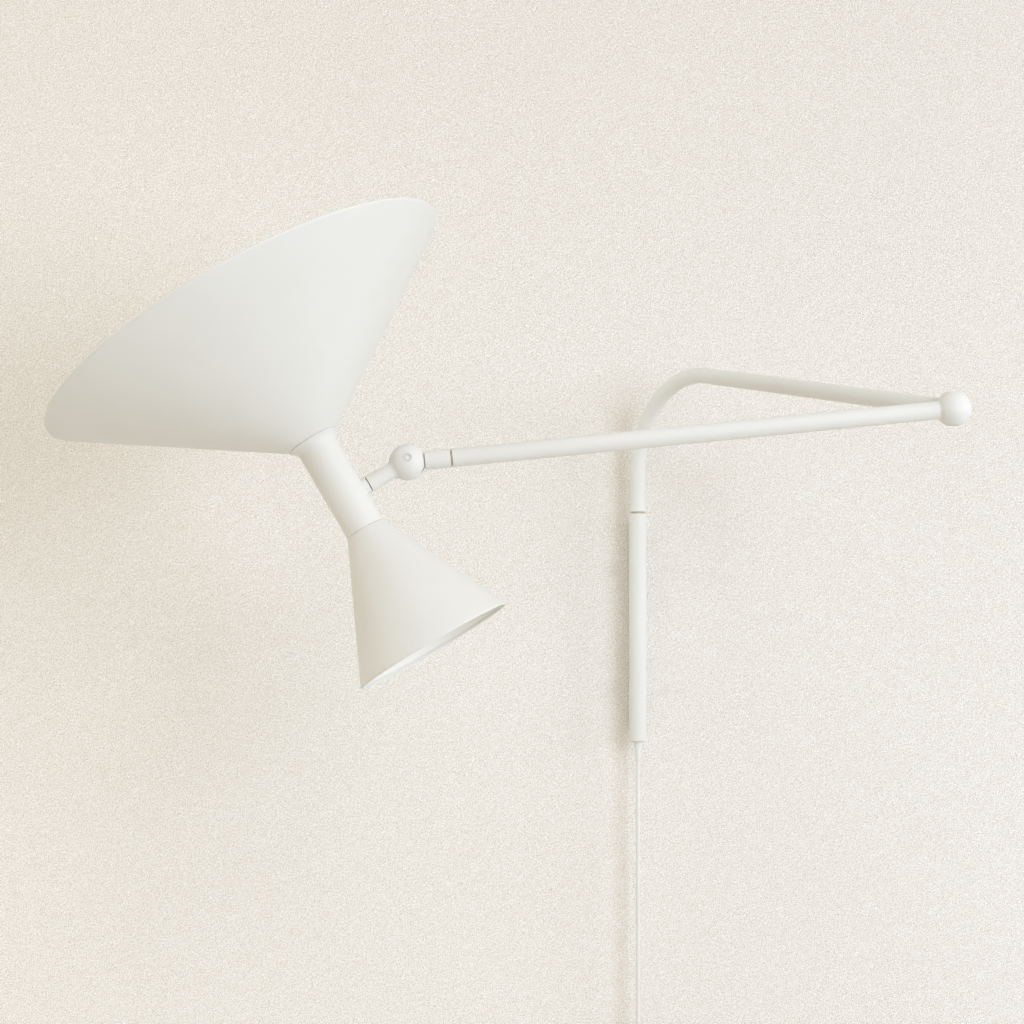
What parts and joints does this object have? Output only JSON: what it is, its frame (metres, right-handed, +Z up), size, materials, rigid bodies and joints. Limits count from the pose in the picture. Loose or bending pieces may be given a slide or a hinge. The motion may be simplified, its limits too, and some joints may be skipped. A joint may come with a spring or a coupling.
{
  "type": "swing arm wall sconce",
  "caption": "Plug-in wall lamp: a wall tube with a swivelling bent arm, a pinned second arm and a double-cone head that rolls, tilts and turns on ball knuckles.",
  "frame": {"origin": "centre of the wall plate's back face, on the wall's surface", "axes": "+Y into the wall, +Z up, +X to the right as seen from the room; the wall tube's axis is parallel to Z at Y = -0.020"},
  "size_m": [0.6334, 0.4766, 0.7912],
  "materials": {
    "tube_paint": "matte off-white powder coat with a faint orange peel, on steel tube",
    "casting_paint": "matte off-white powder coat on turned and cast parts",
    "shade_paint": "matte off-white powder coat inside and out, on spun aluminium sheet",
    "steel": "turned, zinc plated",
    "screw_paint": "off-white painted pin head with a ring groove",
    "nylon": "tan nylon, matte",
    "brass": "nickel plated, satin",
    "alloy": "die cast, bead blasted",
    "board": "white solder mask",
    "opal": "opal polycarbonate, satin",
    "cord": "off-white flexible PVC, smooth"
  },
  "bodies": {
    "wall_mount": {"wall_plate": "casting_paint", "wall_tube": "tube_paint", "post_screw_upper": "steel", "post_screw_lower": "steel", "swivel_lock_screw": "steel", "upper_bush": "nylon", "lower_bush": "nylon", "tube_end_cap": "cord", "strain_relief": "cord", "lead_in_wall_tube": "cord", "cord_drop": "cord", "cord_coil": "cord", "cord_tail": "cord", "cord_tie": "cord", "plug_body": "cord", "plug_pin_left": "brass", "plug_pin_right": "brass"},
    "back_arm": {"back_arm_tube": "tube_paint", "stem_spigot": "steel", "spigot_circlip": "steel", "elbow_tongue": "casting_paint", "lead_in_back_arm": "cord"},
    "front_arm": {"elbow_ball": "casting_paint", "front_arm_tube": "tube_paint", "elbow_pin": "steel", "elbow_nut": "steel", "elbow_washer_upper": "nylon", "elbow_washer_lower": "nylon", "roll_bush": "nylon", "lead_in_front_arm": "cord"},
    "ferrule": {"arm_ferrule": "casting_paint", "roll_circlip": "steel"},
    "wrist": {"wrist_ball": "casting_paint", "wrist_pin": "screw_paint", "wrist_nut": "steel", "wrist_washer_near": "nylon", "wrist_washer_far": "nylon", "swivel_nipple": "steel", "swivel_nut": "brass", "lead_in_stub": "cord"},
    "head": {"neck_body": "casting_paint", "swivel_washer": "nylon", "head_tie_rod": "steel", "upper_shade": "shade_paint", "upper_heat_sink": "alloy", "upper_led_board": "board", "upper_diffuser": "opal", "lower_shade": "shade_paint", "lower_heat_sink": "alloy", "lower_led_board": "board", "lower_diffuser": "opal"}
  },
  "joints": [
    {"name": "wall_swivel", "type": "hinge", "parent": "wall_mount", "child": "back_arm", "pos_m": [0, -0.02, 0], "axis": [0, 0, 1], "range_deg": [-120, 50]},
    {"name": "elbow_swing", "type": "hinge", "parent": "back_arm", "child": "front_arm", "pos_m": [0.19999, -0.30796, 0.16996], "axis": [0, 0, 1], "range_deg": [-8, 118]},
    {"name": "arm_roll", "type": "hinge", "parent": "front_arm", "child": "ferrule", "pos_m": [-0.17906, -0.33195, 0.13199], "axis": [-0.9931, -0.0628, -0.0995], "range_deg": [-150, 150]},
    {"name": "wrist_tilt", "type": "hinge", "parent": "ferrule", "child": "wrist", "pos_m": [-0.17906, -0.33195, 0.13199], "axis": [0.0369, -0.9691, 0.2441], "range_deg": [-70, 21]},
    {"name": "head_turn", "type": "hinge", "parent": "wrist", "child": "head", "pos_m": [-0.17906, -0.33195, 0.13199], "axis": [-0.8564, -0.1565, -0.492], "range_deg": [-160, 160]}
  ]
}
